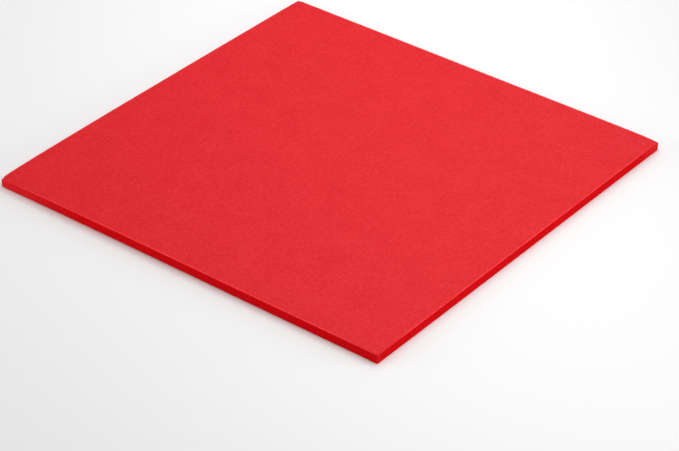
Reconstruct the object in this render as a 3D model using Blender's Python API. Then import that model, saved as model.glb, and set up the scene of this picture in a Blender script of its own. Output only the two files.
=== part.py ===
"""A square sheet of closed-cell craft foam, lying flat.

Units are metres and +Z is up. The origin is the middle of the underside, and the
cut edges run along X and Y.
"""

import math

import bmesh
import bpy

# The cut sheet
SHEET_WIDTH = 0.244  # along X
SHEET_LENGTH = 0.244  # along Y
SHEET_THICKNESS = 0.005

# What the cutting blade leaves: a small round at each corner seen from above, a soft
# arris where the blade presses in, and a sharper one where it leaves
CORNER_RADIUS = 0.0008
TOP_EDGE_RADIUS = 0.0003
UNDERSIDE_EDGE_RADIUS = 0.0002

# How finely the rounds are faceted, and the angle up to which they are shaded smooth
CORNER_SEGMENTS = 6
EDGE_SEGMENTS = 3
SMOOTH_ANGLE = math.radians(40)

# Two points nearer than this count as being at the same place
SAME_PLACE = 0.00001

# The finish: matte red foam
FOAM_RED = (0.70, 0.010, 0.014, 1.0)
FOAM_ROUGHNESS = 0.62


def clear_scene():
    """Remove the objects that the scene starts with."""
    for item in list(bpy.data.objects):
        bpy.data.objects.remove(item, do_unlink=True)


def make_foam_material():
    """A matte, non-metallic red."""
    material = bpy.data.materials.new("red_foam")
    material.use_nodes = True
    shader = material.node_tree.nodes["Principled BSDF"]
    shader.inputs["Base Color"].default_value = FOAM_RED
    shader.inputs["Roughness"].default_value = FOAM_ROUGHNESS
    shader.inputs["Metallic"].default_value = 0.0
    material.diffuse_color = FOAM_RED
    return material


def is_upright(edge):
    """True for an edge that runs straight up through the thickness."""
    low, high = (vert.co.xy for vert in edge.verts)
    return (high - low).length < SAME_PLACE


def lies_at(edge, height):
    """True for an edge whose two ends are both at that height."""
    return all(abs(vert.co.z - height) < SAME_PLACE for vert in edge.verts)


def round_edges(sheet, edges, radius, segments):
    """Round the given edges of the sheet to a quarter circle."""
    bmesh.ops.bevel(
        sheet,
        geom=edges,
        offset=radius,
        offset_type="OFFSET",
        affect="EDGES",
        segments=segments,
        profile=0.5,
        material=-1,
    )


def make_sheet_mesh():
    """The cut sheet as one closed mesh, standing on z = 0."""
    sheet = bmesh.new()
    bmesh.ops.create_cube(sheet, size=1.0)
    bmesh.ops.scale(sheet, vec=(SHEET_WIDTH, SHEET_LENGTH, SHEET_THICKNESS), verts=sheet.verts)
    bmesh.ops.translate(sheet, vec=(0, 0, SHEET_THICKNESS / 2), verts=sheet.verts)

    corners = [edge for edge in sheet.edges if is_upright(edge)]
    round_edges(sheet, corners, CORNER_RADIUS, CORNER_SEGMENTS)
    top_outline = [edge for edge in sheet.edges if lies_at(edge, SHEET_THICKNESS)]
    round_edges(sheet, top_outline, TOP_EDGE_RADIUS, EDGE_SEGMENTS)
    underside_outline = [edge for edge in sheet.edges if lies_at(edge, 0.0)]
    round_edges(sheet, underside_outline, UNDERSIDE_EDGE_RADIUS, EDGE_SEGMENTS)

    mesh = bpy.data.meshes.new("foam_sheet")
    sheet.to_mesh(mesh)
    sheet.free()
    mesh.shade_smooth()
    mesh.set_sharp_from_angle(angle=SMOOTH_ANGLE)
    return mesh


def main():
    clear_scene()
    parts = bpy.data.collections.new("craft_foam_sheet")
    bpy.context.scene.collection.children.link(parts)

    mesh = make_sheet_mesh()
    mesh.materials.append(make_foam_material())
    parts.objects.link(bpy.data.objects.new("foam_sheet", mesh))


main()
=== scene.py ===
"""The looks of a red craft foam sheet: its skin, its cut edges, the light and the camera.

Everything is in metres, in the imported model's frame: +Z is up, the sheet lies on z = 0,
and its cut edges run along X and Y.
"""

import math
import random

import bmesh
import bpy
from mathutils import Matrix, Vector, noise


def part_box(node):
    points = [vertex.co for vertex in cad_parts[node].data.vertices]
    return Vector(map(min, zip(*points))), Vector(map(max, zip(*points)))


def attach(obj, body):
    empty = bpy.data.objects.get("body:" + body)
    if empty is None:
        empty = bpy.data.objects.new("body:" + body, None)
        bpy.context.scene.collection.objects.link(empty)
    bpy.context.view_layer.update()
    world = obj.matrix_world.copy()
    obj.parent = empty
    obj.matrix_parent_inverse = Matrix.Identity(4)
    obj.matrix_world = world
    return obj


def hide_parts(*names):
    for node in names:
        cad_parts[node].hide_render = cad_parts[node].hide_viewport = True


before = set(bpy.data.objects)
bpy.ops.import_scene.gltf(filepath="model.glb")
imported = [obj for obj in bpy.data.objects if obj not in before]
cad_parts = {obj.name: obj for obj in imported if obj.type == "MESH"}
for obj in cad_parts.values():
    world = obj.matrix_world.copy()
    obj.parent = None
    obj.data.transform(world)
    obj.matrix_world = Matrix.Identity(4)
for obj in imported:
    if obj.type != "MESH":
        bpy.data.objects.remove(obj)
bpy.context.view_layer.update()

MM = 0.001

# The sheet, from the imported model
SHEET_LOW, SHEET_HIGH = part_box("foam_sheet")
SHEET_SIZE = SHEET_HIGH - SHEET_LOW
HALF_WIDTH = SHEET_SIZE.x / 2
HALF_LENGTH = SHEET_SIZE.y / 2
THICKNESS = SHEET_SIZE.z

# How finely the sheet is divided, to carry its relief
FACE_CELL = 1.3 * MM
EDGE_CELL = 0.42 * MM

# When an edge is taken as parallel to an axis (within a degree), a fold as sharp, two
# heights as the same, and a surface as facing up or down rather than sideways
PARALLEL = math.cos(math.radians(1))
SHARP_FOLD = math.radians(60)
SAME_HEIGHT = 0.005 * MM
FACING_UP_OR_DOWN = 0.5

# What the blade leaves at the corners, along the arrises and on the cut edges
CORNER_RADIUS = 0.6 * MM
CORNER_SEGMENTS = 6
TOP_ARRIS_RADIUS = 0.16 * MM
UNDERSIDE_ARRIS_RADIUS = 0.10 * MM
ARRIS_SEGMENTS = 3
CUT_WAIST = 0.10 * MM  # how far the middle of a cut edge draws in
CUT_WAVER = 0.10 * MM  # how far the blade strays from a straight line
CUT_WAVER_LENGTH = 45 * MM
CUT_WAVER_FADE = 24  # how quickly it dies away inwards, as a power
CUT_TEAR = 0.05 * MM  # the unevenness of the opened cells
CUT_TEAR_LENGTH = 1.6 * MM
PRESSED_RIM = 0.04 * MM  # how far the blade presses the top face down beside the cut
PRESSED_RIM_WIDTH = 1.2 * MM

# What handling has done to each corner, which is given by its signs along X and Y: how far
# its tip is rubbed in and pressed down, how far its top is crushed, and how far the crush
# reaches in. The rub and the press reach in as far as TIP_REACH.
WORN_CORNERS = (
    ((-1, -1), 0.48 * MM, 0.70 * MM, 0.65 * MM, 20 * MM),
    ((-1, 1), 0.22 * MM, 0.05 * MM, 0.12 * MM, 12 * MM),
    ((1, 1), 0.12 * MM, 0.00 * MM, 0.80 * MM, 7 * MM),
    ((1, -1), 0.04 * MM, 0.00 * MM, 0.05 * MM, 12 * MM),
)
TIP_REACH = 2.5 * MM

# How far the sheet is from flat. Its left corner, at -X and -Y, is bent down to the floor
# and holds that side of the sheet a little off it.
BENT_CORNER = Vector((-HALF_WIDTH, -HALF_LENGTH))
BEND = 0.55 * MM
BEND_REACH = 27 * MM
PROPPED_FADE = 2  # how quickly the lift dies away towards the far corner, as a power
LEFT_EDGE_ARCH = 0.30 * MM  # the middle of the -X edge
NEAR_EDGE_ARCH = 0.12 * MM  # the middle of the -Y edge
ARCH_FADE = 3  # how quickly an arch dies away from its edge, as a power
SLOW_WAVE = 0.05 * MM
SLOW_WAVE_LENGTH = 70 * MM

# The unevenness of the skin
RIPPLE = 0.018 * MM
RIPPLE_LENGTH = 7 * MM
SWELL = 0.05 * MM
SWELL_LENGTH = 22 * MM
DENT_COUNT = 14
DENT_DEPTH = (0.015 * MM, 0.05 * MM)
DENT_RADIUS = (1.5 * MM, 4.5 * MM)
DENT_STEEPNESS = 2
DENT_END = 2  # past this many radii a dent is too shallow to count
DENT_SEED = 5

# Each unevenness takes its own layer of the same noise, so that none repeats another
SLOW_LAYER, RIPPLE_LAYER, SWELL_LAYER, WAVER_LAYER, TEAR_LAYER = 1, 2, 3, 4, 5
LAYER_STEP = 10

# The material slots
SKIN, CUT = 0, 1


def runs_along(edge, axis):
    """True for an edge parallel to the axis."""
    first, second = edge.verts
    direction = (second.co - first.co).normalized()
    return abs(direction[axis]) > PARALLEL


def divide(blank, axis, cell):
    """Cut the block into slices of about one cell along the axis."""
    slices = round(SHEET_SIZE[axis] / cell)
    edges = [edge for edge in blank.edges if runs_along(edge, axis)]
    bmesh.ops.subdivide_edges(blank, edges=edges, cuts=slices - 1, use_grid_fill=True)


def round_off(blank, edges, radius, segments):
    """Round the edges off."""
    bmesh.ops.bevel(
        blank,
        geom=edges,
        offset=radius,
        offset_type="OFFSET",
        affect="EDGES",
        segments=segments,
        profile=0.5,
        material=-1,
    )


def folds_sharply(edge):
    """True where two faces meet at a right angle, or nearly."""
    return edge.calc_face_angle(0.0) > SHARP_FOLD


def lies_at(edge, height):
    """True for an edge with both its ends at that height."""
    return all(abs(vert.co.z - height) < SAME_HEIGHT for vert in edge.verts)


def outline_at(blank, height):
    """The sharp edges all round the top or the underside."""
    return [edge for edge in blank.edges if lies_at(edge, height) and folds_sharply(edge)]


def put_in_order(parts, key):
    """Number the points, the edges or the faces by their keys."""
    for number, part in enumerate(sorted(parts, key=key)):
        part.index = number
    parts.sort()


def order_by_place(blank):
    """Order the points, edges and faces by where they are, so that every run is the same.

    Rounding off leaves them in an order that can change from run to run.
    """
    put_in_order(blank.verts, lambda vert: tuple(vert.co))
    for parts in (blank.edges, blank.faces):
        put_in_order(parts, lambda part: sorted(vert.index for vert in part.verts))


def cut_blank():
    """A square block with the sheet's size, rounds and divisions."""
    blank = bmesh.new()
    bmesh.ops.create_cube(blank, size=1.0)
    bmesh.ops.scale(blank, vec=SHEET_SIZE, verts=blank.verts)
    bmesh.ops.translate(blank, vec=(SHEET_LOW + SHEET_HIGH) / 2, verts=blank.verts)
    divide(blank, 0, FACE_CELL)
    divide(blank, 1, FACE_CELL)
    divide(blank, 2, EDGE_CELL)

    corners = [edge for edge in blank.edges if runs_along(edge, 2) and folds_sharply(edge)]
    round_off(blank, corners, CORNER_RADIUS, CORNER_SEGMENTS)
    round_off(blank, outline_at(blank, SHEET_HIGH.z), TOP_ARRIS_RADIUS, ARRIS_SEGMENTS)
    round_off(blank, outline_at(blank, SHEET_LOW.z), UNDERSIDE_ARRIS_RADIUS, ARRIS_SEGMENTS)
    order_by_place(blank)
    return blank


def wave(place, length, layer):
    """Smooth unevenness from about -1 to 1. Each layer has its own pattern."""
    spot = (place.x / length, place.y / length, place.z / length + LAYER_STEP * layer)
    return noise.noise(Vector(spot))


def on_floor(place):
    """The same place, straight down on the floor."""
    return Vector((place.x, place.y, 0))


def inside(place):
    """How far a point lies inside the nearest cut edge, seen from above."""
    return min(HALF_WIDTH - abs(place.x), HALF_LENGTH - abs(place.y))


def lift(place):
    """How far the sheet stands off the floor there."""
    across = place.x / HALF_WIDTH
    along = place.y / HALF_LENGTH
    nearness = (2 - across - along) / 4  # 1 at the bent corner, 0 at the one opposite
    propped = BEND * nearness**PROPPED_FADE
    bent = BEND * math.exp(-(place.xy - BENT_CORNER).length / BEND_REACH)
    left_arch = LEFT_EDGE_ARCH * (1 - along**2) * ((1 - across) / 2) ** ARCH_FADE
    near_arch = NEAR_EDGE_ARCH * (1 - across**2) * ((1 - along) / 2) ** ARCH_FADE
    slow = SLOW_WAVE * wave(on_floor(place), SLOW_WAVE_LENGTH, SLOW_LAYER)
    return propped - bent + left_arch + near_arch + slow


def corner_wear(place, height):
    """How far a worn corner has moved there, at that share of the thickness."""
    move = Vector((0, 0, 0))
    for signs, rubbed, pressed, crushed, reach in WORN_CORNERS:
        outwards = Vector(signs)
        corner = Vector((signs[0] * HALF_WIDTH, signs[1] * HALF_LENGTH))
        away = (place.xy - corner).length
        at_tip = math.exp(-((away / TIP_REACH) ** 2))
        move.xy -= outwards.normalized() * rubbed * at_tip
        move.z -= (pressed * at_tip + crushed * math.exp(-away / reach)) * height
    return move


def scatter_dents():
    """Places, radii and depths of the shallow dents that handling leaves."""
    dice = random.Random(DENT_SEED)
    dents = []
    for _ in range(DENT_COUNT):
        x = dice.uniform(-HALF_WIDTH, HALF_WIDTH)
        y = dice.uniform(-HALF_LENGTH, HALF_LENGTH)
        dents.append((Vector((x, y)), dice.uniform(*DENT_RADIUS), dice.uniform(*DENT_DEPTH)))
    return dents


def dent_depth(place, dents):
    """How deep the dents are there."""
    depth = 0.0
    for centre, radius, deepest in dents:
        away = (place.xy - centre).length / radius
        if away < DENT_END:
            depth += deepest * math.exp(-DENT_STEEPNESS * away**2)
    return depth


def skin_relief(place, dents):
    """How far the top and the underside depart from their planes there."""
    ripple = RIPPLE * wave(place, RIPPLE_LENGTH, RIPPLE_LAYER)
    swell = SWELL * wave(place, SWELL_LENGTH, SWELL_LAYER)
    return ripple + swell - dent_depth(place, dents)


def waver(place):
    """How far the blade has strayed there, as a sideways move."""
    stray = CUT_WAVER * wave(on_floor(place), CUT_WAVER_LENGTH, WAVER_LAYER)
    move = Vector((0, 0, 0))
    for axis, half in ((0, HALF_WIDTH), (1, HALF_LENGTH)):
        share = abs(place[axis]) / half
        move[axis] = math.copysign(1, place[axis]) * stray * share**CUT_WAVER_FADE
    return move


def cut_relief(place, height):
    """How far a cut edge draws in there."""
    waist = CUT_WAIST * (1 - (2 * height - 1) ** 2)
    return waist + CUT_TEAR * wave(place, CUT_TEAR_LENGTH, TEAR_LAYER)


def is_broad(normal):
    """True on the top face and the underside, and False on the cut edges."""
    return abs(normal.z) > FACING_UP_OR_DOWN


def wear_in(blank):
    """Take the block from a perfect shape to that of soft, hand-cut foam."""
    dents = scatter_dents()
    blank.normal_update()
    moves = []
    for vert in blank.verts:
        place = vert.co
        height = (place.z - SHEET_LOW.z) / THICKNESS
        move = waver(place) + corner_wear(place, height)
        move.z += lift(place)
        if is_broad(vert.normal):
            side = math.copysign(1, vert.normal.z)
            pressed = PRESSED_RIM * math.exp(-inside(place) / PRESSED_RIM_WIDTH)
            move.z += side * (skin_relief(place, dents) - pressed)
        else:
            move -= vert.normal * cut_relief(place, height)
        moves.append(move)
    for vert, move in zip(blank.verts, moves):
        vert.co += move
    lowest = min(vert.co.z for vert in blank.verts)
    bmesh.ops.translate(blank, vec=(0, 0, SHEET_LOW.z - lowest), verts=blank.verts)


def sort_faces(blank):
    """Give the two broad faces the skin, and the cut edges the opened foam."""
    for face in blank.faces:
        face.smooth = True
        face.material_index = SKIN if is_broad(face.normal) else CUT


def make_sheet():
    """The whole sheet, in place of the plain solid."""
    blank = cut_blank()
    wear_in(blank)
    blank.normal_update()
    sort_faces(blank)
    mesh = bpy.data.meshes.new("red_foam_sheet")
    blank.to_mesh(mesh)
    blank.free()
    sheet = bpy.data.objects.new("red_foam_sheet", mesh)
    bpy.context.scene.collection.objects.link(sheet)
    mesh.materials.append(skin_finish())
    mesh.materials.append(cut_finish())
    return sheet


class Value:
    """One output of a material's node, with arithmetic."""

    def __init__(self, finish, socket):
        self.finish = finish
        self.socket = socket

    def __add__(self, other):
        return self.finish.maths("ADD", self, other)

    def __radd__(self, other):
        return self.finish.maths("ADD", other, self)

    def __sub__(self, other):
        return self.finish.maths("SUBTRACT", self, other)

    def __rsub__(self, other):
        return self.finish.maths("SUBTRACT", other, self)

    def __mul__(self, other):
        return self.finish.maths("MULTIPLY", self, other)

    def __rmul__(self, other):
        return self.finish.maths("MULTIPLY", other, self)

    def __abs__(self):
        return self.finish.maths("ABSOLUTE", self, 0.0)


# Where a foam cell's round middle ends and its wall is reached, in cells
CELL_MIDDLE, CELL_WALL = 0.12, 0.50

# How strong the finer parts of a cloud of unevenness are beside the coarser ones
CLOUD_ROUGHNESS = 0.55

# A cell whose tone is under the first has no speck, and one over the second has the largest
SPECK_TONES = (0.1, 0.45)
SPECK_SOFTNESS = 0.3  # a speck fades over this share of the largest one's radius


class Finish:
    """A material and the nodes that make it."""

    def __init__(self, name):
        self.material = bpy.data.materials.new(name)
        self.material.use_nodes = True
        self.tree = self.material.node_tree
        self.tree.nodes.clear()

    def node(self, kind, settings, sockets, output=0):
        """Add a node, set it up, feed its sockets and give back one of its outputs."""
        made = self.tree.nodes.new(kind)
        for name, setting in settings.items():
            setattr(made, name, setting)
        for name, source in sockets.items():
            if isinstance(source, Value):
                self.tree.links.new(source.socket, made.inputs[name])
            else:
                made.inputs[name].default_value = source
        return Value(self, made.outputs[output]) if made.outputs else None

    def maths(self, operation, first, second):
        """One sum, difference or the like, of two numbers that may vary over the surface."""
        return self.node("ShaderNodeMath", {"operation": operation}, {0: first, 1: second})

    def rise(self, value, start, end):
        """0 before start, 1 after end, and smooth between them."""
        return self.node(
            "ShaderNodeMapRange",
            {"interpolation_type": "SMOOTHSTEP"},
            {"Value": value, "From Min": start, "From Max": end},
        )

    def place(self):
        """The three coordinates of the place on the sheet."""
        spot = self.node("ShaderNodeTexCoord", {}, {}, "Object")
        return [self.node("ShaderNodeSeparateXYZ", {}, {0: spot}, axis) for axis in range(3)]

    def flat(self, first, second):
        """A place on a flat surface, from its two coordinates."""
        return self.node("ShaderNodeCombineXYZ", {}, {0: first, 1: second})

    def cloud(self, where, size, detail=2.0):
        """Soft unevenness round 0, with patches of about that size."""
        noise_texture = self.node(
            "ShaderNodeTexNoise",
            {"noise_dimensions": "2D"},
            {"Vector": where, "Scale": 1 / size, "Detail": detail, "Roughness": CLOUD_ROUGHNESS},
        )
        return noise_texture - 0.5

    def spots(self, where, size, output="Distance"):
        """Cells of about that size: how far it is to a cell's middle, or its own Color."""
        return self.node(
            "ShaderNodeTexVoronoi",
            {"voronoi_dimensions": "2D"},
            {"Vector": where, "Scale": 1 / size},
            output,
        )

    def bubbles(self, where, size):
        """1 in the round middle of each foam cell of about that size, 0 on its walls."""
        return 1 - self.rise(self.spots(where, size), CELL_MIDDLE, CELL_WALL)

    def tones(self, where, size):
        """A different number round 0 for each cell of about that size: the grey of its colour."""
        return self.spots(where, size, "Color") - 0.5

    def blobs(self, where, size):
        """Round spots of about that size, each lighter or darker by chance, round 0."""
        return self.bubbles(where, size) * self.tones(where, size)

    def specks(self, where, size, largest):
        """A few scattered round specks. The largest is that share of size in radius."""
        radius = self.rise(self.tones(where, size), *SPECK_TONES) * largest
        return self.rise(radius - self.spots(where, size), 0.0, largest * SPECK_SOFTNESS)

    def blend(self, factor, first, second):
        """Mix two colours."""
        return self.node("ShaderNodeMix", {"data_type": "RGBA"}, {0: factor, 6: first, 7: second}, 2)

    def bump(self, height):
        """The normal of a surface whose height is given in millimetres."""
        sockets = {"Strength": 1.0, "Distance": MM, "Height": height}
        return self.node("ShaderNodeBump", {}, sockets, "Normal")

    def finish_with(self, sockets):
        """Put a Principled shader on the surface."""
        shader = self.node("ShaderNodeBsdfPrincipled", {}, sockets)
        self.node("ShaderNodeOutputMaterial", {}, {"Surface": shader})
        return self.material


# The dye goes right through. The skin is a little paler than the opened cells.
SKIN_RED = (0.81, 0.0190, 0.0270, 1.0)
SKIN_DEEP_RED = (0.65, 0.0000, 0.0060, 1.0)
CUT_RED = (0.755, 0.0038, 0.0072, 1.0)
CUT_DEEP_RED = (0.515, 0.0003, 0.0014, 1.0)
DUST = (0.88, 0.30, 0.30, 1.0)
# Painted highlight: the paler red laid on the cut edges near the corners, where they catch more light
CUT_END_HIGHLIGHT = (0.71, 0.0160, 0.0225, 1.0)
# Painted shade: the dark red inside the pores of the skin
PORE_SHADE = (0.40, 0.0020, 0.0040, 1.0)
# Painted highlight: the pale red laid along the top arrises
ARRIS_HIGHLIGHT = (0.92, 0.0340, 0.0420, 1.0)

# Where the usual tint lies between the deep red, at 0, and the red, at 1
SKIN_TINT = 0.62
CUT_TINT = 0.66

# How far each kind of mark covers the red below it, painted highlights and painted shade among them,
# and how far the patches vary the painted highlight along the top arrises
ARRIS_HIGHLIGHT_COVER = 0.85
ARRIS_HIGHLIGHT_VARIES = 1.6
PORE_SHADE_COVER = 0.8
DUST_COVER = 0.5
CUT_END_HIGHLIGHT_COVER = 0.9
UPRIGHT_HIGHLIGHT_COVER = 0.4

# Foam lets a little light in
GLOW_DEPTH = (0.8 * MM, 0.2 * MM, 0.2 * MM)
GLOW = 0.10

# How large the marks on the skin are, and how far apart its pores and specks of dust.
# A pore's and a speck's largest radius is a share of that distance.
SKIN_MOTTLE = 16 * MM
SKIN_PATCH = 2.4 * MM
SKIN_GRAIN = 0.9 * MM
SKIN_BLOB = 0.85 * MM
SKIN_CELL = 0.30 * MM
PORE_SPACING = 9 * MM
PORE_LARGEST = 0.03
DUST_SPACING = 14 * MM
DUST_LARGEST = 0.020

# The pale line along the top arrises, a painted highlight for the light that their rounds catch. Each
# pair gives where a change starts and where it is done: the line fades inwards from the edges at -X
# and +X, and from those at -Y and +Y, and it builds up past a corner.
ARRIS_HIGHLIGHT_IN_FROM_X = (0.25 * MM, 0.85 * MM)
ARRIS_HIGHLIGHT_IN_FROM_Y = (0.40 * MM, 1.30 * MM)
ARRIS_HIGHLIGHT_PAST_CORNER = (4 * MM, 30 * MM)

# How large the marks on the cut edges are. The streaks run up through the thickness, and
# only cells whose tone is below the pair have a large pit.
CUT_MOTTLE = 12 * MM
CUT_GRAIN = 0.9 * MM
CUT_CELL = 0.22 * MM
LARGE_PIT = 0.75 * MM
LARGE_PIT_TONES = (-0.1, 0.1)
STREAK_WIDTH = 1.1 * MM
STREAK_LENGTH = 11 * MM

# Where the cut edges are painted paler near the corners, a painted highlight: how far from the left
# corner and from the right one, and where a narrow band begins and ends at the near corner and the
# back one
LEFT_END_HIGHLIGHT = 60 * MM
RIGHT_END_HIGHLIGHT = 22 * MM
UPRIGHT_BEGINS = (-1.2 * MM, -0.2 * MM)
UPRIGHT_ENDS = (1.5 * MM, 4.0 * MM)


def skin_finish():
    """The smooth, matte skin of closed-cell foam."""
    skin = Finish("foam_skin")
    x, y, _ = skin.place()
    where = skin.flat(x, y)
    mottle = skin.cloud(where, SKIN_MOTTLE, detail=3)
    patches = skin.cloud(where, SKIN_PATCH)
    grain = skin.cloud(where, SKIN_GRAIN)
    bubbles = skin.bubbles(where, SKIN_CELL)
    tones = skin.tones(where, SKIN_CELL)
    blobs = skin.blobs(where, SKIN_BLOB)
    tint = SKIN_TINT + mottle * 0.4 + patches * 0.35 + grain * 0.25 + blobs * 0.65 + tones * 0.45
    tint = tint - bubbles * 0.30
    colour = skin.blend(tint, SKIN_DEEP_RED, SKIN_RED)

    # A pale line along the top arrises: a painted highlight for the light that their rounds catch
    from_x_edge = HALF_WIDTH - abs(x)
    from_y_edge = HALF_LENGTH - abs(y)
    rubbed = 1 - skin.rise(from_x_edge, *ARRIS_HIGHLIGHT_IN_FROM_X) * skin.rise(from_y_edge, *ARRIS_HIGHLIGHT_IN_FROM_Y)
    off_corners = skin.rise(from_x_edge + from_y_edge, *ARRIS_HIGHLIGHT_PAST_CORNER)
    cover = rubbed * off_corners * (ARRIS_HIGHLIGHT_COVER + patches * ARRIS_HIGHLIGHT_VARIES)
    colour = skin.blend(cover, colour, ARRIS_HIGHLIGHT)
    # The pores are pits in the bump, painted dark for the shade inside them
    pore = skin.specks(where, PORE_SPACING, PORE_LARGEST)
    colour = skin.blend(pore * PORE_SHADE_COVER, colour, PORE_SHADE)
    dust = skin.specks(where, DUST_SPACING, DUST_LARGEST)
    colour = skin.blend(dust * DUST_COVER, colour, DUST)

    height = bubbles * 0.03 + blobs * 0.05 + grain * 0.02 + patches * 0.10 - pore * 0.08
    return skin.finish_with(
        {
            "Base Color": colour,
            "Roughness": 0.56 + grain * 0.25 + mottle * 0.1,
            "Normal": skin.bump(height),
            "Specular IOR Level": 0.10,
            "Coat Weight": 0.09 + mottle * 0.1 + patches * 0.22 + grain * 0.25 + blobs * 0.5,
            "Coat Roughness": 0.5,
            "Subsurface Weight": GLOW,
            "Subsurface Radius": GLOW_DEPTH,
            "Subsurface Scale": 1.0,
        }
    )


def cut_finish():
    """The cut edges, where the blade has opened the cells."""
    cut = Finish("cut_foam")
    x, y, z = cut.place()
    along = x + y  # lowest at the left corner, 0 at the near and back ones
    where = cut.flat(along, z)
    pits = cut.bubbles(where, CUT_CELL)
    chosen = 1 - cut.rise(cut.tones(where, LARGE_PIT), *LARGE_PIT_TONES)
    large_pits = cut.bubbles(where, LARGE_PIT) * chosen
    tones = cut.tones(where, CUT_CELL)
    grain = cut.cloud(where, CUT_GRAIN)
    streaks = cut.cloud(cut.flat(along, z * (STREAK_WIDTH / STREAK_LENGTH)), STREAK_WIDTH)
    mottle = cut.cloud(where, CUT_MOTTLE)
    tint = CUT_TINT + grain * 0.6 + streaks * 0.25 + mottle * 0.3 + tones * 0.3
    # The pits are darkened: painted shade inside the opened cells
    tint = tint - pits * 0.3 - large_pits * 0.15
    colour = cut.blend(tint, CUT_DEEP_RED, CUT_RED)

    # Near the left and right corners and along the upright corners the cut edges are painted paler: a
    # painted highlight
    at_right_corner = HALF_WIDTH + HALF_LENGTH  # and the left one is at minus this
    left_end = 1 - cut.rise(at_right_corner + along, 0.0, LEFT_END_HIGHLIGHT)
    right_end = 1 - cut.rise(at_right_corner - along, 0.0, RIGHT_END_HIGHLIGHT)
    upright = cut.rise(along, *UPRIGHT_BEGINS) * (1 - cut.rise(along, *UPRIGHT_ENDS))
    cover = (left_end + right_end) * CUT_END_HIGHLIGHT_COVER + upright * UPRIGHT_HIGHLIGHT_COVER
    colour = cut.blend(cover, colour, CUT_END_HIGHLIGHT)
    height = streaks * 0.03 + grain * 0.04 - pits * 0.035 - large_pits * 0.06
    return cut.finish_with(
        {
            "Base Color": colour,
            "Roughness": 0.80 + streaks * 0.15,
            "Normal": cut.bump(height),
            "Specular IOR Level": 0.02,
            "Subsurface Weight": GLOW,
            "Subsurface Radius": GLOW_DEPTH,
            "Subsurface Scale": 1.0,
        }
    )


# The floor, so wide that its rim doesn't show
FLOOR_RADIUS = 12.0
FLOOR_SIDES = 96
FLOOR_WHITE = (0.92, 0.92, 0.92, 1.0)


def make_floor():
    """A plain pale floor."""
    disc = bmesh.new()
    bmesh.ops.create_circle(disc, cap_ends=True, segments=FLOOR_SIDES, radius=FLOOR_RADIUS)
    bmesh.ops.translate(disc, vec=(0, 0, SHEET_LOW.z), verts=disc.verts)
    mesh = bpy.data.meshes.new("floor")
    disc.to_mesh(mesh)
    disc.free()
    floor = bpy.data.objects.new("floor", mesh)
    bpy.context.scene.collection.objects.link(floor)
    pale = Finish("pale_floor")
    mesh.materials.append(
        pale.finish_with({"Base Color": FLOOR_WHITE, "Roughness": 0.9, "Specular IOR Level": 0.1})
    )


# The light: an even sky, a long soft lamp close above the sheet, a low one on either side,
# and a weak one behind that shines off the skin.
# A lamp is given by its place, its length and width, and its watts.
SKY = 0.491
SKY_WHITE = (1.0, 1.0, 1.0, 1.0)
LONG_LAMP = (Vector((0.0495, 0.076, 0.33)), (0.9, 0.25), 1.156)
RIGHT_LAMP = (Vector((1.7, 1.2, 0.32)), (0.6, 0.6), 12.0)
LEFT_LAMP = (Vector((-0.5, -0.564, 0.17)), (0.3, 0.3), 1.38)
BACK_LAMP = (Vector((-0.05, 0.50, 0.25)), (0.3, 0.15), 0.236)


def light_sky():
    """The same light from all round."""
    world = bpy.data.worlds.new("studio")
    world.use_nodes = True
    sky = world.node_tree.nodes["Background"]
    sky.inputs["Color"].default_value = SKY_WHITE
    sky.inputs["Strength"].default_value = SKY
    bpy.context.scene.world = world


def hang_lamp(name, place, size, watts):
    """A soft lamp that faces the sheet's middle, with its long side level."""
    lamp = bpy.data.lights.new(name, "AREA")
    lamp.shape = "RECTANGLE"
    lamp.size, lamp.size_y = size
    lamp.energy = watts
    holder = bpy.data.objects.new(name, lamp)
    away = place.normalized()
    level = Vector((0, 0, 1)).cross(away).normalized()
    turn = Matrix((level, away.cross(level), away)).transposed().to_4x4()
    holder.matrix_world = Matrix.Translation(place) @ turn
    holder.visible_camera = False
    bpy.context.scene.collection.objects.link(holder)


# The camera, as fitted to the sheet's corners in the photograph
CAMERA_PLACE = Vector((0.7026, -0.9027, 0.7247))
CAMERA_AIM = Vector((0.0405, -0.0469, 0.005))
CAMERA_ROLL = math.radians(0.72)
CAMERA_LENS = 137.8
CAMERA_SENSOR = 36.0


def set_camera():
    """A long lens, looking down on one corner."""
    camera = bpy.data.cameras.new("camera")
    camera.lens = CAMERA_LENS
    camera.sensor_width = CAMERA_SENSOR
    holder = bpy.data.objects.new("camera", camera)
    look = (CAMERA_AIM - CAMERA_PLACE).to_track_quat("-Z", "Y").to_matrix().to_4x4()
    roll = Matrix.Rotation(CAMERA_ROLL, 4, "Z")
    holder.matrix_world = Matrix.Translation(CAMERA_PLACE) @ look @ roll
    bpy.context.scene.collection.objects.link(holder)
    bpy.context.scene.camera = holder


set_camera()
light_sky()
hang_lamp("long_lamp", *LONG_LAMP)
hang_lamp("right_lamp", *RIGHT_LAMP)
hang_lamp("left_lamp", *LEFT_LAMP)
hang_lamp("back_lamp", *BACK_LAMP)
make_floor()
sheet = make_sheet()
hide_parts("foam_sheet")
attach(sheet, "root")
bpy.context.scene.view_settings.view_transform = "Standard"
